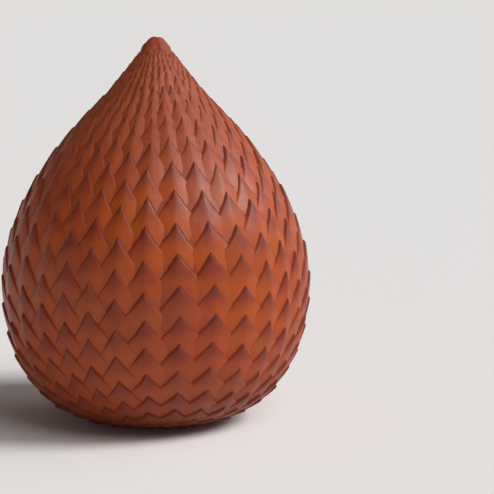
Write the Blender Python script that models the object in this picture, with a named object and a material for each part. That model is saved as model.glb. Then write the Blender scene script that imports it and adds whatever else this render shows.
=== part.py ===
"""A whole snake fruit (salak): one solid, with its overlapping scales as low relief on the skin.

The fruit stands on a small flat spot at its blunt end, with its pointed stem end up. The frame is in
metres, +Z up, with the origin at the centre of the flat spot and the fruit's front towards -Y.
"""

import math

import bmesh
import bpy
from mathutils import Vector
from mathutils.geometry import interpolate_bezier

# Overall sizes
FRUIT_HEIGHT = 0.072
FRUIT_WIDTH = 0.058

# The outline, from the flat spot up to the stem end
SPOT_DIAMETER = 0.016       # the flat spot that the fruit rests on
BELLY_HEIGHT = 0.0255       # level of the widest place
NECK_DROP = 0.010           # from the tip down to the neck, where the sides draw into a point
NECK_WIDTH = 0.018
NECK_SLOPE = math.radians(40)   # the neck's slope, off the upright
TIP_LEAN = 0.0006           # the tip stands this far to one side of the flat spot's centre

# How full the outline's curves are, as shares of the spans that they cross
UNDER_BELLY_OUT = 0.81      # outwards from the flat spot
UNDER_BELLY_UP = 0.32       # down from the belly
OVER_BELLY_UP = 0.52        # up from the belly
BELOW_NECK = 0.38           # down the slope from the neck
ABOVE_NECK = 1.16           # up the slope from the neck
TIP_ROUND = 0.24            # outwards from the tip

# Scales
COLUMNS = 32                # even, because neighbouring columns stand half a scale apart
SCALE_LENGTH = 0.0061       # from one tip to the next one in its column, at the belly
SCALE_LIFT = 0.0006         # how far a tip stands out from the scale above it, at the belly
LENGTH_TAPER = 0.4          # power by which scales get shorter where the fruit is slimmer
FRONT_TURN = math.radians(8.4)  # the front column stands this far round from -Y
CAP_WIDTH = 0.0056          # the smooth cap at the stem end, which has no scales
CAP_RINGS = 4

CURVE_STEPS = 160           # points read from each stretch of the outline
CREASE_ANGLE = math.radians(28)     # sharper edges than this are shaded as creases
SKIN_COLOUR = (0.36, 0.105, 0.048, 1.0)
SKIN_ROUGHNESS = 0.5


def clear_scene():
    for item in list(bpy.data.objects):
        bpy.data.objects.remove(item, do_unlink=True)


def outline_points():
    """(radius, height) points, close together, from the flat spot's rim up to the tip."""
    spot_radius = SPOT_DIAMETER / 2
    belly_radius = FRUIT_WIDTH / 2
    neck_radius = NECK_WIDTH / 2
    neck_height = FRUIT_HEIGHT - NECK_DROP
    up_the_slope = Vector((-math.sin(NECK_SLOPE), math.cos(NECK_SLOPE), 0))

    rim = Vector((spot_radius, 0, 0))
    belly = Vector((belly_radius, BELLY_HEIGHT, 0))
    neck = Vector((neck_radius, neck_height, 0))
    tip = Vector((0, FRUIT_HEIGHT, 0))

    leave_rim = rim + Vector((UNDER_BELLY_OUT * (belly_radius - spot_radius), 0, 0))
    reach_belly = belly - Vector((0, UNDER_BELLY_UP * BELLY_HEIGHT, 0))
    leave_belly = belly + Vector((0, OVER_BELLY_UP * (neck_height - BELLY_HEIGHT), 0))
    reach_neck = neck - BELOW_NECK * NECK_DROP * up_the_slope
    leave_neck = neck + ABOVE_NECK * NECK_DROP * up_the_slope
    reach_tip = tip + Vector((TIP_ROUND * neck_radius, 0, 0))

    points = [rim]
    for stretch in (
        (rim, leave_rim, reach_belly, belly),
        (belly, leave_belly, reach_neck, neck),
        (neck, leave_neck, reach_tip, tip),
    ):
        points += interpolate_bezier(*stretch, CURVE_STEPS)[1:]
    return [Vector((point.x, point.y)) for point in points]


class Outline:
    """The turned outline, read by the distance travelled up it from the flat spot's rim."""

    def __init__(self, points):
        self.points = points
        self.travelled = [0.0]
        for below, above in zip(points, points[1:]):
            self.travelled.append(self.travelled[-1] + (above - below).length)
        self.length = self.travelled[-1]

    def at(self, distance):
        """The point there, and the direction that faces out of the fruit."""
        span = 0
        while span < len(self.points) - 2 and self.travelled[span + 1] < distance:
            span += 1
        below, above = self.points[span], self.points[span + 1]
        along = (above - below).normalized()
        share = (distance - self.travelled[span]) / (above - below).length
        return below.lerp(above, share), Vector((along.y, -along.x))


def scale_levels(outline):
    """Distances up the outline to the tips, half a scale apart, from the rim to the cap."""
    levels = [0.0]
    while True:
        point, _ = outline.at(levels[-1])
        if point.y > BELLY_HEIGHT and point.x < CAP_WIDTH / 2:
            return levels
        slimness = point.x / (FRUIT_WIDTH / 2)
        levels.append(levels[-1] + SCALE_LENGTH / 2 * slimness ** LENGTH_TAPER)


def place(point, column):
    """An outline point turned to its column, with the fruit's lean."""
    turn = FRONT_TURN + column * 2 * math.pi / COLUMNS
    lean = TIP_LEAN * (point.y / FRUIT_HEIGHT) ** 2
    return Vector((point.x * math.sin(turn) + lean, -point.x * math.cos(turn), point.y))


def skin_ring(mesh, outline, distance, columns):
    """The skin under the scales' tips at one level: a vertex for each column that is asked for."""
    point, outward = outline.at(distance)
    sunk = point - outward * SCALE_LIFT * point.x / (FRUIT_WIDTH / 2)
    return {column: mesh.verts.new(place(sunk, column)) for column in columns}


def add_scale(mesh, tip, skin_at_tip, left, bottom, right):
    """A kite with a keel from its raised tip to its bottom, and the step down from its upper edges."""
    mesh.faces.new((tip, left, bottom))
    mesh.faces.new((tip, bottom, right))
    mesh.faces.new((tip, right, skin_at_tip))
    mesh.faces.new((left, tip, skin_at_tip))


def add_scales(mesh, outline, levels):
    """Every scale between the flat spot and the cap. It returns the skin's rings, lowest first."""
    rim_point, _ = outline.at(0.0)
    rings = [{column: mesh.verts.new(place(rim_point, column)) for column in range(COLUMNS)}]
    for level in range(1, len(levels)):
        columns = range(level % 2, COLUMNS, 2)
        ring = skin_ring(mesh, outline, levels[level], columns)
        below = rings[-1]
        two_below = rings[max(level - 2, 0)]
        tip_point, _ = outline.at(levels[level])
        for column in columns:
            left = below[(column - 1) % COLUMNS]
            right = below[(column + 1) % COLUMNS]
            tip = mesh.verts.new(place(tip_point, column))
            add_scale(mesh, tip, ring[column], left, two_below[column], right)
        rings.append(ring)
    return rings


def add_cap(mesh, outline, highest, second, start):
    """The smooth stem end, from the zigzag of the last scales up to the tip."""
    lower = {**highest, **second}
    for step in range(1, CAP_RINGS):
        distance = start + (outline.length - start) * step / CAP_RINGS
        point, _ = outline.at(distance)
        upper = {column: mesh.verts.new(place(point, column)) for column in range(COLUMNS)}
        for column in range(COLUMNS):
            beside = (column + 1) % COLUMNS
            mesh.faces.new((lower[column], lower[beside], upper[beside], upper[column]))
        lower = upper
    tip = mesh.verts.new(place(outline.at(outline.length)[0], 0))
    for column in range(COLUMNS):
        mesh.faces.new((lower[column], lower[(column + 1) % COLUMNS], tip))


def skin_material():
    material = bpy.data.materials.new("scaly_skin")
    material.use_nodes = True
    shader = material.node_tree.nodes["Principled BSDF"]
    shader.inputs["Base Color"].default_value = SKIN_COLOUR
    shader.inputs["Roughness"].default_value = SKIN_ROUGHNESS
    shader.inputs["Metallic"].default_value = 0.0
    material.diffuse_color = SKIN_COLOUR
    return material


def build_fruit():
    outline = Outline(outline_points())
    levels = scale_levels(outline)
    mesh = bmesh.new()
    rings = add_scales(mesh, outline, levels)
    add_cap(mesh, outline, rings[-1], rings[-2], levels[-1])
    mesh.faces.new([rings[0][column] for column in reversed(range(COLUMNS))])
    bmesh.ops.triangulate(mesh, faces=mesh.faces[:])

    data = bpy.data.meshes.new("snake_fruit")
    mesh.to_mesh(data)
    mesh.free()
    data.shade_smooth()
    data.set_sharp_from_angle(angle=CREASE_ANGLE)
    data.materials.append(skin_material())
    fruit = bpy.data.objects.new("snake_fruit", data)
    bpy.context.collection.objects.link(fruit)


clear_scene()
build_fruit()
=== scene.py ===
import math

import bmesh
import bpy
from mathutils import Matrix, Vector
from mathutils.geometry import interpolate_bezier


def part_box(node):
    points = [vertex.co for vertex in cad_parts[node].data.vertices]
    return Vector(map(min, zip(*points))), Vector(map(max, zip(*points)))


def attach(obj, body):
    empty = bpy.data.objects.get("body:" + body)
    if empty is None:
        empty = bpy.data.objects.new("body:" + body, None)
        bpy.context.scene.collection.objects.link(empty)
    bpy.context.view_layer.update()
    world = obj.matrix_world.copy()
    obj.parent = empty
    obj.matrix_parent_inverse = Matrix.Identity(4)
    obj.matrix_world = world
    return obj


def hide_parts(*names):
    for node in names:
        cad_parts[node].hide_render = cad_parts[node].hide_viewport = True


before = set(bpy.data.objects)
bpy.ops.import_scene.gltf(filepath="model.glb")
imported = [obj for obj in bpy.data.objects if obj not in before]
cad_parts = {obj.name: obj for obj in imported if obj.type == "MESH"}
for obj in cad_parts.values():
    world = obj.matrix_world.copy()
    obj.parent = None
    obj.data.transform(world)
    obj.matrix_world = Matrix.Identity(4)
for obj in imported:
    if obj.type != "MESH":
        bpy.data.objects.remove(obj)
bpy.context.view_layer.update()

low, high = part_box("snake_fruit")

# The fruit's turned outline, in metres. The curves' fullness is a share of the span each one crosses.
fruit = {
    "height": high.z - low.z,
    "belly": (high.x - low.x + high.y - low.y) / 4 * 1.012,     # largest radius, a touch over the CAD's
    "bellyLevel": 0.0255,
    "spot": 0.008,                  # radius of the flat spot it stands on
    "neck": 0.009,
    "neckDrop": 0.010,              # below the tip
    "neckSlope": math.radians(40),  # off the upright
    "underBelly": (0.83, 0.33),     # out from the spot, down from the belly
    "overBelly": 0.52,
    "aroundNeck": (0.38, 1.16),     # down the slope, up the slope
    "tipRound": 0.16,
    "lean": 0.0004,                 # how far the tip stands to one side
}

# How the rows and columns of scales lie on it.
coat = {
    "columns": 32,
    "stations": 8,              # places on the outline for each row
    "scaleLength": 0.00525,     # tip to tip at the belly
    "slimming": 0.64,           # scales shorten with the fruit's radius, by this power
    "stretch": 0.77,            # and lengthen by this share from the belly to the tip
    "smallest": 0.0015,         # radius below which they shorten no more
    "neckStart": 0.012,         # radius above the belly from which they shorten again,
    "neckShort": 0.55,          # by this power
    "scar": 0.0024,             # radius without scales, underneath
    "cap": 0.0030,              # radius without scales, at the stem end
    "firstTip": 0.13,           # of a row, sets all the rows' heights
    "crest": math.radians(15.0),    # the rows are highest here, round from the front
    "fall": 0.56,               # rows fall this much of a row from column to column
    "crestWidth": 3.0,          # in columns
    "wander": 0.17,             # how far columns stray, in columns
    "wanderTurns": 4,
    "wanderStart": 1.7,         # in columns from the crest
    "strayAcross": 0.03,        # each scale's own strays: in columns, in rows, in radians, of its size
    "strayAlong": 0.05,
    "strayTurn": 0.035,
    "straySize": 0.06,
    "looser": 3.6,              # the strays grow this much towards the stem end,
    "looserRows": (0.47, 0.70),     # between these shares of the rows
    "seed": 7,
}

# One scale. Across is in columns, along is in rows from the tip, depths are in metres at the belly.
scale = {
    "halfWidth": 0.80,
    "corner": 1.02,             # where it is widest
    "waist": 1.22,              # above 1 the edges curve in towards the tip
    "foot": (1.45, 0.66, 1.75, 0.50),   # two more places along it and their half widths
    "folds": (0.07, 0.24, 0.48, 0.76),  # edges from side to side above the corner
    "inner": 0.25,              # edges from end to end, as a share of the half width
    "tilt": 0.00038,            # drop for each row
    "keel": 0.00045,            # drop for each column, either side of the keel
    "crestKeel": 0.00036,       # added to it along the upper crest, less and less away from there
    "crestSpread": 4.0,         # in columns
    "crestRows": (0.34, 0.50),  # shares of the rows between which that starts
    "rim": 0.085,               # rounded edge, in columns
    "rimMost": 0.45,            # of the half width
    "rimDrop": 0.00007,
    "rimLeast": 0.4,            # of that drop, where the rim is narrow
    "tipDrop": 0.000035,
    "thickness": 0.00038,       # sunk into the scales beneath
    "flare": 0.085,             # its underside stands out this much further
    "thinning": 0.68,           # lift and thickness shrink with the fruit's radius, by this power
    "strayLift": 0.00008,
    "waviness": 0.035,          # in columns
    "ripple": 1.6,              # waves for each column or row
    "rippleApart": 50.0,        # so that no two scales are wavy alike
}

# The closed body under the scales, bare at both ends.
body = {
    "columns": 96,
    "rows": 240,
    "depth": 0.0010,            # under the outline, where there are scales
    "sinking": (-0.9, 0.7),     # in rows from the first and last tips
    "along": 0.45,              # coloured as a scale is at this place
    "weld": 0.000001,           # closes the seam and both ends
    "lumps": 520.0,             # for each metre, on the bare cap
    "lumpDetail": 2.0,
    "lumpHeight": 0.0009,
    "lumpLevel": 0.45,          # noise above this swells, below it sinks
    "lumpStart": (0.9, 0.96),   # shares of the fruit's height
    "sharpFrom": math.radians(62),
}


def outlinePoints():
    spot = Vector((fruit["spot"], 0, 0))
    belly = Vector((fruit["belly"], fruit["bellyLevel"], 0))
    neck = Vector((fruit["neck"], fruit["height"] - fruit["neckDrop"], 0))
    tip = Vector((0, fruit["height"], 0))
    upSlope = Vector((-math.sin(fruit["neckSlope"]), math.cos(fruit["neckSlope"]), 0))
    outShare, downShare = fruit["underBelly"]
    below, above = fruit["aroundNeck"]
    stretches = [
        (spot, spot + Vector((outShare * (belly.x - spot.x), 0, 0)),
         belly - Vector((0, downShare * belly.y, 0)), belly),
        (belly, belly + Vector((0, fruit["overBelly"] * (neck.y - belly.y), 0)),
         neck - upSlope * below * fruit["neckDrop"], neck),
        (neck, neck + upSlope * above * fruit["neckDrop"],
         tip + Vector((fruit["tipRound"] * neck.x, 0, 0)), tip),
    ]
    steps = 300
    points = [Vector((spot.x * n / steps, 0, 0)) for n in range(steps + 1)]
    for stretch in stretches:
        points += interpolate_bezier(*stretch, steps)[1:]
    return [Vector((p.x, p.y)) for p in points]


def widest(points):
    return max(range(len(points)), key=lambda n: points[n].x)


def countRows(points):      # rows of scales passed on the way up the outline
    way = [0.0]
    for a, b in zip(points, points[1:]):
        way.append(way[-1] + (b - a).length)
    atBelly = way[widest(points)]
    rows = [0.0]
    for n in range(1, len(points)):
        radius = max(points[n].x, coat["smallest"])
        upper = max(0.0, (way[n] - atBelly) / (way[-1] - atBelly))
        length = coat["scaleLength"] * (radius / fruit["belly"]) ** coat["slimming"]
        length *= 1 + coat["stretch"] * upper
        if upper > 0:
            length *= min(1, radius / coat["neckStart"]) ** coat["neckShort"]
        rows.append(rows[-1] + (way[n] - way[n - 1]) / length)
    return rows


def readAt(points, rows, row):      # the place on the outline, and the way it runs there
    n = 1
    while n < len(rows) - 1 and rows[n] < row:
        n += 1
    share = (row - rows[n - 1]) / (rows[n] - rows[n - 1])
    return points[n - 1].lerp(points[n], share), (points[n] - points[n - 1]).normalized()


def makeOutline():
    points = outlinePoints()
    rows = countRows(points)
    total = rows[-1]
    count = round(total * coat["stations"])
    mesh = bpy.data.meshes.new("fruitOutline")
    bm = bmesh.new()
    outwards = []
    for n in range(count + 1):
        point, along = readAt(points, rows, total * n / count)
        bm.verts.new((point.x, 0, point.y))
        outwards.append((along.y, 0, -along.x))
    bm.to_mesh(mesh)
    bm.free()
    outward = mesh.attributes.new("outward", "FLOAT_VECTOR", "POINT")
    for item, value in zip(outward.data, outwards):
        item.vector = value
    shape = bpy.data.objects.new("fruitOutline", mesh)
    bpy.context.collection.objects.link(shape)
    bellyRow = rows[widest(points)]
    scarRow = next(row for row, p in zip(rows, points) if p.x > coat["scar"])
    capRow = next(row for row, p in zip(rows, points) if row > bellyRow and p.x < coat["cap"])
    return shape, {"total": total, "perRow": count / total, "scar": scarRow, "cap": capRow}


def makeScale():
    mesh = bpy.data.meshes.new("oneScale")
    bm = bmesh.new()
    alongMark = bm.verts.layers.float.new("along")
    acrossMark = bm.verts.layers.float.new("across")
    edgeMark = bm.verts.layers.float.new("edge")
    firstFoot, firstWidth, lastFoot, lastWidth = scale["foot"]

    def halfWidth(along):
        if along <= scale["corner"]:
            return scale["halfWidth"] * (along / scale["corner"]) ** scale["waist"]
        return {firstFoot: firstWidth, lastFoot: lastWidth}[along]

    def corner(across, along, drop, edge):
        depth = scale["tilt"] * max(0, along) + scale["keel"] * abs(across) + drop
        vert = bm.verts.new((across, -along, -depth))
        vert[alongMark] = along
        vert[acrossMark] = across
        vert[edgeMark] = edge
        return vert

    underside = scale["rimDrop"] + scale["thickness"]
    tipTop = corner(0, 0, scale["tipDrop"], 1)
    tipLow = corner(0, -scale["flare"], underside, 1)
    tops, lows = [], []
    for along in (*scale["folds"], scale["corner"], firstFoot, lastFoot):
        width = halfWidth(along)
        inner = scale["inner"] * width
        rim = min(scale["rim"], width * scale["rimMost"])
        edgeDrop = scale["rimDrop"] * (scale["rimLeast"] + (1 - scale["rimLeast"]) * rim / scale["rim"])
        places = (-width, rim - width, -inner, 0, inner, width - rim, width)
        tops.append([corner(x, along, edgeDrop * (abs(x) == width), abs(x) / width)
                     for x in places])
        lows.append([corner(x, along, underside, 1)
                     for x in (-width - scale["flare"], width + scale["flare"])])
    for a, b in zip(tops[0], tops[0][1:]):
        bm.faces.new((tipTop, a, b))
    for upper, lower in zip(tops, tops[1:]):
        for n in range(len(upper) - 1):
            bm.faces.new((upper[n], lower[n], lower[n + 1], upper[n + 1]))
    bm.faces.new((tipTop, tipLow, lows[0][0], tops[0][0]))
    bm.faces.new((tipTop, tops[0][-1], lows[0][1], tipLow))
    for n in range(len(tops) - 1):
        bm.faces.new((tops[n][0], lows[n][0], lows[n + 1][0], tops[n + 1][0]))
        bm.faces.new((tops[n][-1], tops[n + 1][-1], lows[n + 1][1], lows[n][1]))
    bm.faces.new((*tops[-1], lows[-1][1], lows[-1][0]))
    bm.faces.new((tipLow, *[pair[1] for pair in lows], *[pair[0] for pair in reversed(lows)]))
    bmesh.ops.recalc_face_normals(bm, faces=bm.faces)
    bm.to_mesh(mesh)
    bm.free()
    shape = bpy.data.objects.new("oneScale", mesh)
    bpy.context.collection.objects.link(shape)
    return shape


# Short hands for adding nodes and feeding them.
def put(tree, kind, **settings):
    node = tree.nodes.new(kind)
    for name, value in settings.items():
        setattr(node, name, value)
    return node


def feed(tree, socket, value):
    if isinstance(value, bpy.types.NodeSocket):
        tree.links.new(value, socket)
    elif value is not None:
        socket.default_value = value


def filled(tree, kind, *values, **settings):      # a node with its first inputs fed in order
    node = put(tree, kind, **settings)
    for socket, value in zip(node.inputs, values):
        feed(tree, socket, value)
    return node.outputs


def calc(tree, operation, *values):
    return filled(tree, "ShaderNodeMath", *values, operation=operation)[0]


def vectorCalc(tree, operation, *values):
    return filled(tree, "ShaderNodeVectorMath", *values, operation=operation)[0]


def joinXYZ(tree, x=None, y=None, z=None):
    return filled(tree, "ShaderNodeCombineXYZ", x, y, z)[0]


def splitXYZ(tree, vector):
    return filled(tree, "ShaderNodeSeparateXYZ", vector)


def spreadOf(tree, value, start, end, toStart=0.0, toEnd=1.0, smooth=False):
    kind = "SMOOTHSTEP" if smooth else "LINEAR"
    return filled(tree, "ShaderNodeMapRange", value, start, end, toStart, toEnd, interpolation_type=kind)[0]


def scaled(tree, vector, factor):
    node = put(tree, "ShaderNodeVectorMath", operation="SCALE")
    feed(tree, node.inputs[0], vector)
    feed(tree, node.inputs["Scale"], factor)
    return node.outputs[0]


def position(tree):
    return put(tree, "GeometryNodeInputPosition").outputs[0]


def readMark(tree, name, kind="FLOAT"):
    return filled(tree, "GeometryNodeInputNamedAttribute", name, data_type=kind)[0]


def storeMark(tree, geometry, name, value, domain):
    node = put(tree, "GeometryNodeStoreNamedAttribute", data_type="FLOAT", domain=domain)
    for socket, item in (("Geometry", geometry), ("Name", name), ("Value", value)):
        feed(tree, node.inputs[socket], item)
    return node.outputs[0]


def movePoints(tree, geometry, to=None, by=None):
    node = put(tree, "GeometryNodeSetPosition")
    for socket, item in (("Geometry", geometry), ("Position", to), ("Offset", by)):
        feed(tree, node.inputs[socket], item)
    return node.outputs[0]


def randomSpread(tree, spread, seed, number):      # an even spread about zero
    node = put(tree, "FunctionNodeRandomValue", data_type="FLOAT")
    feed(tree, node.inputs[2], calc(tree, "MULTIPLY", spread, -1.0))
    feed(tree, node.inputs[3], spread)
    feed(tree, node.inputs["Seed"], calc(tree, "ADD", seed, float(number)))
    return node.outputs[1]


def layScales(tree, given):      # flat: columns across, rows up
    columns, seed = given["Columns"], given["Seed"]
    number = put(tree, "GeometryNodeInputIndex").outputs[0]
    column = calc(tree, "MODULO", number, columns)
    row = calc(tree, "FLOOR", calc(tree, "DIVIDE", number, columns))
    halfway = calc(tree, "DIVIDE", calc(tree, "SUBTRACT", columns, 1.0), 2.0)
    fromCrest = calc(tree, "SUBTRACT", column, halfway)
    squared = calc(tree, "ADD", calc(tree, "MULTIPLY", fromCrest, fromCrest),
                   calc(tree, "MULTIPLY", given["Crest Width"], given["Crest Width"]))
    slope = calc(tree, "SUBTRACT", calc(tree, "SQRT", squared), given["Crest Width"])
    phase = calc(tree, "SUBTRACT", given["First Tip"], calc(tree, "MULTIPLY", slope, given["Fall"]))
    tipRow = calc(tree, "ADD", row, calc(tree, "FRACT", phase))
    looser = spreadOf(tree, calc(tree, "DIVIDE", tipRow, given["Rows"]), *coat["looserRows"], 1.0,
                      given["Looser"], smooth=True)

    def stray(name, draw):
        return randomSpread(tree, calc(tree, "MULTIPLY", given[name], looser), seed, draw)

    across = calc(tree, "ADD", fromCrest, stray("Stray Across", 0))
    up = calc(tree, "ADD", tipRow, stray("Stray Along", 1))
    lift = calc(tree, "SUBTRACT", randomSpread(tree, given["Stray Lift"], seed, 5), given["Stray Lift"])
    points = put(tree, "GeometryNodePoints")
    feed(tree, points.inputs["Count"],
         calc(tree, "MULTIPLY", columns, calc(tree, "CEIL", given["Rows"])))
    feed(tree, points.inputs["Position"], joinXYZ(tree, across, up, lift))

    shown = filled(tree, "FunctionNodeBooleanMath", calc(tree, "GREATER_THAN", tipRow, given["Scar Row"]),
                   calc(tree, "LESS_THAN", tipRow, given["Cap Row"]), operation="AND")[0]
    scaleInfo = put(tree, "GeometryNodeObjectInfo")
    feed(tree, scaleInfo.inputs["Object"], given["Scale"])
    laid = put(tree, "GeometryNodeInstanceOnPoints")
    feed(tree, laid.inputs["Points"], points.outputs[0])
    feed(tree, laid.inputs["Selection"], shown)
    feed(tree, laid.inputs["Instance"], scaleInfo.outputs["Geometry"])
    feed(tree, laid.inputs["Rotation"], joinXYZ(tree, z=stray("Stray Turn", 2)))
    feed(tree, laid.inputs["Scale"], calc(tree, "ADD", 1.0, stray("Stray Size", 3)))
    tone = randomSpread(tree, 0.5, seed, 4)     # one for each scale, for its colour
    toned = storeMark(tree, laid.outputs[0], "tone", tone, "INSTANCE")
    return filled(tree, "GeometryNodeRealizeInstances", toned)[0]


def waveEdges(tree, given, scales):      # differently on each scale
    ripple = put(tree, "ShaderNodeTexNoise", noise_dimensions="4D")
    feed(tree, ripple.inputs["Vector"], position(tree))
    feed(tree, ripple.inputs["W"], calc(tree, "MULTIPLY", readMark(tree, "tone"), scale["rippleApart"]))
    feed(tree, ripple.inputs["Scale"], scale["ripple"])
    feed(tree, ripple.inputs["Detail"], 1.0)
    aboutZero = vectorCalc(tree, "SUBTRACT", ripple.outputs["Color"], (0.5, 0.5, 0.5))
    # noise strays by about a quarter either way
    shift = scaled(tree, aboutZero, calc(tree, "MULTIPLY", given["Waviness"], 4.0))
    return movePoints(tree, scales, by=vectorCalc(tree, "MULTIPLY", shift, (1.0, 1.0, 0.0)))


def foldCrest(tree, given, scales):      # sharper folds down the middle of the scales there
    place = splitXYZ(tree, position(tree))
    away = calc(tree, "DIVIDE", place[0], given["Crest Spread"])
    fold = calc(tree, "DIVIDE", given["Crest Keel"],
                calc(tree, "ADD", calc(tree, "MULTIPLY", away, away), 1.0))
    upper = spreadOf(tree, calc(tree, "DIVIDE", place[1], given["Rows"]), *scale["crestRows"], smooth=True)
    across = calc(tree, "ABSOLUTE", readMark(tree, "across"))
    drop = calc(tree, "MULTIPLY", calc(tree, "MULTIPLY", fold, upper),
                calc(tree, "MULTIPLY", across, -1.0))
    return movePoints(tree, scales, by=joinXYZ(tree, z=drop))


def wrapRound(tree, given):      # where any flat point goes on the fruit
    flat = splitXYZ(tree, position(tree))
    station = calc(tree, "MAXIMUM", calc(tree, "MULTIPLY", flat[1], given["Stations Per Row"]), 0.0)
    outline = put(tree, "GeometryNodeObjectInfo")
    feed(tree, outline.inputs["Object"], given["Outline"])

    def readOutline(value):
        ends = []
        for step in (0.0, 1.0):
            sample = put(tree, "GeometryNodeSampleIndex", data_type="FLOAT_VECTOR", clamp=True)
            feed(tree, sample.inputs["Geometry"], outline.outputs["Geometry"])
            feed(tree, sample.inputs["Value"], value)
            feed(tree, sample.inputs["Index"],
                 calc(tree, "ADD", calc(tree, "FLOOR", station), step))
            ends.append(sample.outputs[0])
        blend = put(tree, "ShaderNodeMix", data_type="VECTOR")
        feed(tree, blend.inputs[0], calc(tree, "FRACT", station))
        feed(tree, blend.inputs[4], ends[0])
        feed(tree, blend.inputs[5], ends[1])
        return blend.outputs[1]

    onOutline = readOutline(position(tree))
    outward = readOutline(readMark(tree, "outward", "FLOAT_VECTOR"))
    radius = splitXYZ(tree, onOutline)[0]
    slim = calc(tree, "POWER", calc(tree, "DIVIDE", radius, given["Belly"]), given["Thinning"])
    lifted = scaled(tree, outward, calc(tree, "MULTIPLY", flat[2], slim))
    side = splitXYZ(tree, vectorCalc(tree, "ADD", onOutline, lifted))
    pitch = calc(tree, "DIVIDE", math.tau, given["Columns"])
    wavesFrom = calc(tree, "MULTIPLY", pitch, calc(tree, "ADD", flat[0], coat["wanderStart"]))
    waves = calc(tree, "COSINE", calc(tree, "MULTIPLY", given["Wander Turns"], wavesFrom))
    strayed = calc(tree, "SUBTRACT", flat[0], calc(tree, "MULTIPLY", waves, given["Wander"]))
    angle = calc(tree, "ADD", given["Crest"], calc(tree, "MULTIPLY", strayed, pitch))
    leaning = calc(tree, "MULTIPLY", given["Lean"],
                   calc(tree, "POWER", calc(tree, "DIVIDE", side[2], given["Height"]), 2.0))
    x = calc(tree, "ADD", leaning, calc(tree, "MULTIPLY", side[0], calc(tree, "SINE", angle)))
    y = calc(tree, "MULTIPLY", side[0],
             calc(tree, "MULTIPLY", calc(tree, "COSINE", angle), -1.0))
    return joinXYZ(tree, x, y, side[2])


def makeBody(tree, given, wrapped):
    sheet = put(tree, "GeometryNodeMeshGrid")
    for name, value in (("Size X", given["Columns"]), ("Size Y", given["Rows"]),
                        ("Vertices X", body["columns"] + 1), ("Vertices Y", body["rows"] + 1)):
        feed(tree, sheet.inputs[name], value)
    onSheet = splitXYZ(tree, position(tree))
    row = calc(tree, "ADD", onSheet[1], calc(tree, "DIVIDE", given["Rows"], 2.0))
    sunk = []
    for edge, sign in ((given["Scar Row"], 1.0), (given["Cap Row"], -1.0)):
        inside = calc(tree, "MULTIPLY", calc(tree, "SUBTRACT", row, edge), sign)
        sunk.append(spreadOf(tree, inside, *body["sinking"], smooth=True))
    bed = calc(tree, "MULTIPLY", calc(tree, "MULTIPLY", *sunk),
               calc(tree, "MULTIPLY", given["Bed Depth"], -1.0))
    flat = movePoints(tree, sheet.outputs["Mesh"], to=joinXYZ(tree, onSheet[0], row, bed))
    marked = storeMark(tree, flat, "along", body["along"], "POINT")
    closed = put(tree, "GeometryNodeMergeByDistance")
    feed(tree, closed.inputs["Geometry"], movePoints(tree, marked, to=wrapped))
    feed(tree, closed.inputs["Distance"], body["weld"])
    return closed.outputs[0]


def lumpCap(tree, given, closedBody):
    lumps = put(tree, "ShaderNodeTexNoise")
    feed(tree, lumps.inputs["Vector"], position(tree))
    feed(tree, lumps.inputs["Scale"], body["lumps"])
    feed(tree, lumps.inputs["Detail"], body["lumpDetail"])
    height = calc(tree, "DIVIDE", splitXYZ(tree, position(tree))[2], given["Height"])
    swell = calc(tree, "MULTIPLY", calc(tree, "SUBTRACT", lumps.outputs["Fac"], body["lumpLevel"]),
                 calc(tree, "MULTIPLY", spreadOf(tree, height, *body["lumpStart"]), given["Lump Height"]))
    outward = put(tree, "GeometryNodeInputNormal").outputs[0]
    return movePoints(tree, closedBody, by=scaled(tree, outward, swell))


def makeCoatTree(wanted):
    tree = bpy.data.node_groups.new("scaleCoat", "GeometryNodeTree")
    sockets = {}
    for name, kind, _ in wanted:
        sockets[name] = tree.interface.new_socket(name, in_out="INPUT", socket_type="NodeSocket" + kind)
    tree.interface.new_socket("Geometry", in_out="OUTPUT", socket_type="NodeSocketGeometry")
    given = put(tree, "NodeGroupInput").outputs
    wrapped = wrapRound(tree, given)
    flatScales = foldCrest(tree, given, waveEdges(tree, given, layScales(tree, given)))
    scales = movePoints(tree, flatScales, to=wrapped)
    bodyBelow = lumpCap(tree, given, makeBody(tree, given, wrapped))
    both = put(tree, "GeometryNodeJoinGeometry")
    tree.links.new(bodyBelow, both.inputs[0])
    tree.links.new(scales, both.inputs[0])
    real = filled(tree, "GeometryNodeRealizeInstances", both.outputs[0])[0]
    painted = put(tree, "GeometryNodeSetMaterial")
    feed(tree, painted.inputs["Geometry"], real)
    feed(tree, painted.inputs["Material"], given["Skin"])
    tree.links.new(painted.outputs[0], put(tree, "NodeGroupOutput").inputs[0])
    return tree, sockets


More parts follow.
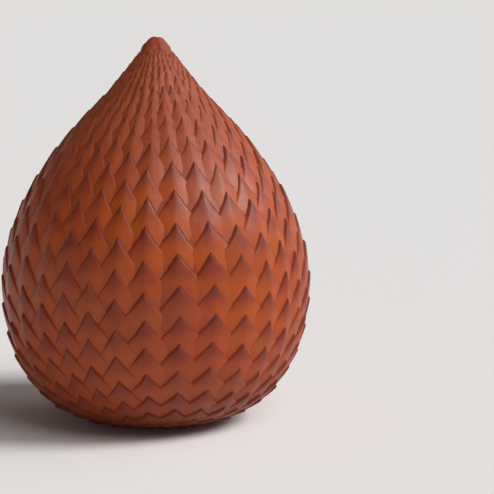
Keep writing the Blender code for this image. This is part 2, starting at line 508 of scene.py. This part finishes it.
def makeFruit(skin):
    outline, rows = makeOutline()
    oneScale = makeScale()
    wanted = [
        ("Outline", "Object", outline), ("Scale", "Object", oneScale), ("Skin", "Material", skin),
        ("Columns", "Int", coat["columns"]), ("Rows", "Float", rows["total"]),
        ("Stations Per Row", "Float", rows["perRow"]), ("Scar Row", "Float", rows["scar"]),
        ("Cap Row", "Float", rows["cap"]), ("First Tip", "Float", coat["firstTip"]),
        ("Crest", "Float", coat["crest"]), ("Fall", "Float", coat["fall"]),
        ("Crest Width", "Float", coat["crestWidth"]), ("Crest Keel", "Float", scale["crestKeel"]),
        ("Crest Spread", "Float", scale["crestSpread"]), ("Wander", "Float", coat["wander"]),
        ("Wander Turns", "Float", float(coat["wanderTurns"])), ("Belly", "Float", fruit["belly"]),
        ("Height", "Float", fruit["height"]), ("Lean", "Float", fruit["lean"]),
        ("Thinning", "Float", scale["thinning"]), ("Bed Depth", "Float", body["depth"]),
        ("Lump Height", "Float", body["lumpHeight"]), ("Waviness", "Float", scale["waviness"]),
        ("Stray Across", "Float", coat["strayAcross"]), ("Stray Along", "Float", coat["strayAlong"]),
        ("Stray Turn", "Float", coat["strayTurn"]), ("Stray Size", "Float", coat["straySize"]),
        ("Stray Lift", "Float", scale["strayLift"]), ("Looser", "Float", coat["looser"]),
        ("Seed", "Int", coat["seed"]),
    ]
    tree, sockets = makeCoatTree(wanted)
    holder = bpy.data.objects.new("fruitMaker", bpy.data.meshes.new("fruitMaker"))
    bpy.context.collection.objects.link(holder)
    modifier = holder.modifiers.new("scaleCoat", "NODES")
    modifier.node_group = tree
    for name, _, value in wanted:
        modifier[sockets[name].identifier] = value

    graph = bpy.context.evaluated_depsgraph_get()
    mesh = bpy.data.meshes.new_from_object(holder.evaluated_get(graph))
    holder.modifiers.clear()
    for helper in (holder, outline, oneScale):
        bpy.data.objects.remove(helper, do_unlink=True)
    mesh.name = "snakeFruit"
    mesh.shade_smooth()
    mesh.set_sharp_from_angle(angle=body["sharpFrom"])
    piece = bpy.data.objects.new("snakeFruit", mesh)
    bpy.context.collection.objects.link(piece)
    mesh.calc_loop_triangles()
    print("fruit:", len(mesh.loop_triangles), "triangles,", round(rows["cap"], 1), "rows up to the cap")
    return piece


# Patterns are a size, detail and roughness. Sizes are in metres, but in columns and rows of one scale
# for the fibres and clouds.
skinLook = {
    "tip": (0.155, 0.0215, 0.0110),
    "middle": (0.268, 0.0345, 0.0082),
    "valley": (0.385, 0.0600, 0.0092),
    "mauve": (0.250, 0.0420, 0.0190),
    "dark": (0.120, 0.0180, 0.0060),
    "ochre": (0.350, 0.0850, 0.0140),
    "crown": (0.320, 0.0640, 0.0240),
    "blotches": (0.016, 3.0, 0.55),
    "patches": (0.005, 2.0, 0.5),
    "mottle": (0.0011, 2.0, 0.6),
    "pores": (0.0004, 3.0, 0.6),
    "fibres": (0.07, 3.0, 0.6),
    "clouds": (0.5, 2.0, 0.5),
    "fibreStretch": (1.0, 0.12, 1.0),
    "scatter": 60.0,                # sets the patterns of one scale apart from the next one's
    "cloudiness": 0.45,             # clouds push the colours this far up and down a scale
    "middleFrom": (-0.15, 0.85),    # down a scale, from its tip
    "valleyFrom": (0.35, 1.0),
    "layers": [     # a colour over the ones before: what it follows, from where to where, its share
        ("mauve", "blotches", 0.45, 0.7, 0.35),
        ("ochre", "tone", 0.1, 0.5, 0.22),
        ("dark", "tone", -0.1, -0.5, 0.2),
        ("dark", "fibres", 0.5, 0.75, 0.2),
        ("ochre", "patches", 0.55, 0.8, 0.35),
    ],
    "topBlendFrom": (0.55, 0.95),       # of the fruit's height; paler, pinker and rougher towards the top
    "topBlend": 0.65,
    "mottling": (0.45, 0.70, 0.0, 0.6),
    "rim": (0.82, 1.0, 0.0, 0.15),  # painted shade on the rounded edges, most near the tips: from a scale's middle, 0, to its edge, 1
    "rimShadeAlong": (1.0, 0.2),
    # painted shade in the walls between the scales
    "wallShade": (0.96, 1.0, 0.0, 0.15),
    "undersideShade": (0.21, 0.0, 0.0, 0.68),     # painted shade, darker towards the underside: of the fruit's height
    "roughness": [      # added up: what it follows, from where to where, how rough
        ("blotches", 0.3, 0.7, 0.37, 0.46),
        ("fibres", 0.3, 0.7, -0.04, 0.06),
        ("topBlend", 0.0, 1.0, 0.0, 0.3),
        ("edge", 0.85, 1.0, 0.0, 0.5),
    ],
    "specular": 0.28,
    "relief": [("fibres", 0.2), ("pores", 0.25), ("clouds", 1.5)],
    "reliefStrength": 0.6,
    "reliefDepth": 0.00012,
}


def noiseAt(tree, where, size, detail, roughness):
    node = put(tree, "ShaderNodeTexNoise")
    for name, value in (("Vector", where), ("Scale", 1 / size), ("Detail", detail),
                        ("Roughness", roughness)):
        feed(tree, node.inputs[name], value)
    return node.outputs["Fac"]


def mixColours(tree, share, first, second):
    node = put(tree, "ShaderNodeMix", data_type="RGBA", clamp_factor=True)
    feed(tree, node.inputs[0], share)
    for socket, value in ((node.inputs[6], first), (node.inputs[7], second)):
        feed(tree, socket, value if isinstance(value, bpy.types.NodeSocket) else (*value, 1))
    return node.outputs[2]


def findPatterns(tree, look):      # everything that colour, gloss and relief follow
    found = {}
    for name in ("along", "across", "edge", "tone"):
        found[name] = put(tree, "ShaderNodeAttribute", attribute_name=name).outputs["Fac"]
    place = put(tree, "ShaderNodeTexCoord").outputs["Object"]
    onScale = joinXYZ(tree, found["across"], found["along"],
                      calc(tree, "MULTIPLY", found["tone"], look["scatter"]))
    drawnOut = vectorCalc(tree, "MULTIPLY", onScale, look["fibreStretch"])
    for name, where in (("blotches", place), ("patches", place), ("mottle", place), ("pores", place),
                        ("fibres", drawnOut), ("clouds", onScale)):
        found[name] = noiseAt(tree, where, *look[name])
    found["height"] = calc(tree, "DIVIDE", splitXYZ(tree, place)[2], fruit["height"])
    found["topBlend"] = spreadOf(tree, found["height"], *look["topBlendFrom"], 0.0, look["topBlend"], smooth=True)
    return found


def skinColour(tree, look, found):
    cloudy = calc(tree, "MULTIPLY", calc(tree, "SUBTRACT", found["clouds"], 0.5), look["cloudiness"])
    down = calc(tree, "ADD", found["along"], cloudy)
    toMiddle = spreadOf(tree, down, *look["middleFrom"], smooth=True)
    toValley = spreadOf(tree, down, *look["valleyFrom"], smooth=True)
    colour = mixColours(tree, toMiddle, look["tip"], look["middle"])
    colour = mixColours(tree, toValley, colour, look["valley"])
    for name, follows, start, end, share in look["layers"]:
        colour = mixColours(tree, spreadOf(tree, found[follows], start, end, 0.0, share), colour, look[name])
    # paler and pinker towards the top
    colour = mixColours(tree, found["topBlend"], colour, look["crown"])
    mottled = calc(tree, "MULTIPLY", spreadOf(tree, found["mottle"], *look["mottling"]), found["topBlend"])
    # painted shade on the rounded rims, most near the tips
    rim = calc(tree, "MULTIPLY", spreadOf(tree, found["edge"], *look["rim"]),
               spreadOf(tree, found["along"], *look["rimShadeAlong"]))
    # painted shade in the walls between the scales
    wallShade = spreadOf(tree, found["edge"], *look["wallShade"])
    # painted shade, darker towards the underside
    undersideShade = spreadOf(tree, found["height"], *look["undersideShade"], smooth=True)
    for shade in (mottled, rim, wallShade, undersideShade):
        colour = mixColours(tree, shade, colour, look["dark"])
    return colour


def makeSkin():
    look = skinLook
    material = bpy.data.materials.new("scalySkin")
    material.use_nodes = True
    tree = material.node_tree
    shader = tree.nodes["Principled BSDF"]
    found = findPatterns(tree, look)
    tree.links.new(skinColour(tree, look, found), shader.inputs["Base Color"])
    rough = 0.0
    for follows, *span in look["roughness"]:
        rough = calc(tree, "ADD", rough, spreadOf(tree, found[follows], *span))
    tree.links.new(rough, shader.inputs["Roughness"])
    shader.inputs["Specular IOR Level"].default_value = look["specular"]
    height = 0.0
    for follows, share in look["relief"]:
        height = calc(tree, "ADD", height, calc(tree, "MULTIPLY", found[follows], share))
    bump = put(tree, "ShaderNodeBump")
    feed(tree, bump.inputs["Strength"], look["reliefStrength"])
    feed(tree, bump.inputs["Distance"], look["reliefDepth"])
    feed(tree, bump.inputs["Height"], height)
    tree.links.new(bump.outputs[0], shader.inputs["Normal"])
    print("skin:", len(tree.nodes), "nodes")
    return material


floorLook = {
    "radius": 8.0,
    "sides": 64,
    "colour": (0.835, 0.763, 0.732, 1),
    "roughness": 0.9,
}


def makeStage():
    mesh = bpy.data.meshes.new("floor")
    bm = bmesh.new()
    bmesh.ops.create_circle(bm, cap_ends=True, segments=floorLook["sides"], radius=floorLook["radius"])
    bm.to_mesh(mesh)
    bm.free()
    floor = bpy.data.objects.new("floor", mesh)
    bpy.context.collection.objects.link(floor)
    paint = bpy.data.materials.new("palePaper")
    paint.use_nodes = True
    shader = paint.node_tree.nodes["Principled BSDF"]
    shader.inputs["Base Color"].default_value = floorLook["colour"]
    shader.inputs["Roughness"].default_value = floorLook["roughness"]
    mesh.materials.append(paint)
    print("stage: floor", floorLook["radius"] * 2, "m across")


# Wide suns, as soft as studio boxes and as strong on the far floor. Angles are in degrees.
lamps = {
    "key": {"azimuth": 76, "elevation": 42, "angle": 26, "strength": 2.78, "colour": (0.96, 1.04, 1.07)},
    "side": {"azimuth": 118, "elevation": 24, "angle": 40, "strength": 0.50, "colour": (1.0, 1.02, 1.04)},
    "front": {"azimuth": 32, "elevation": 48, "angle": 34, "strength": 0.72, "colour": (0.96, 1.04, 1.07)},
}

# The air round about: as pale as the floor low down, dim above.
air = {
    "colour": (1, 0.98, 0.96, 1),
    "between": (0.05, 0.30),    # upwards, 1 is overhead
    "strengths": (0.74, 0.10),
}


def makeAir():
    world = bpy.data.worlds.new("studio")
    bpy.context.scene.world = world
    world.use_nodes = True
    tree = world.node_tree
    background = tree.nodes["Background"]
    background.inputs[0].default_value = air["colour"]
    upwards = splitXYZ(tree, put(tree, "ShaderNodeTexCoord").outputs["Generated"])[2]
    glow = spreadOf(tree, upwards, *air["between"], *air["strengths"], smooth=True)
    feed(tree, background.inputs[1], glow)


def makeLights():
    for name, light in lamps.items():
        lamp = bpy.data.lights.new(name, "SUN")
        lamp.angle = math.radians(light["angle"])
        lamp.energy = light["strength"]
        lamp.color = light["colour"]
        azimuth, elevation = math.radians(light["azimuth"]), math.radians(light["elevation"])
        towards = Vector((math.sin(azimuth) * math.cos(elevation),
                          -math.cos(azimuth) * math.cos(elevation), math.sin(elevation)))
        holder = bpy.data.objects.new(name, lamp)
        holder.location = towards
        holder.rotation_euler = towards.to_track_quat("Z", "Y").to_euler()
        bpy.context.collection.objects.link(holder)
    print("lights:", ", ".join(lamps))


view = {
    "elevation": math.radians(8),
    "distance": 0.38,               # from the fruit's middle
    "aim": (0.0172, 0, -0.00354),   # from there too, so that the fruit stands left of the middle
    "lens": 147.5,
}


def makeCamera():
    camera = bpy.data.objects.new("camera", bpy.data.cameras.new("camera"))
    bpy.context.collection.objects.link(camera)
    middle = Vector((0, 0, fruit["height"] / 2))
    towards = Vector((0, -math.cos(view["elevation"]), math.sin(view["elevation"])))
    camera.location = middle + towards * view["distance"]
    aim = middle + Vector(view["aim"])
    camera.rotation_euler = (camera.location - aim).to_track_quat("Z", "Y").to_euler()
    camera.data.lens = view["lens"]
    bpy.context.scene.camera = camera
    bpy.context.scene.view_settings.view_transform = "Standard"
    print("camera:", view["distance"], "m from the fruit's middle")


piece = makeFruit(makeSkin())
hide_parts("snake_fruit")
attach(piece, "root")
makeStage()
makeAir()
makeLights()
makeCamera()
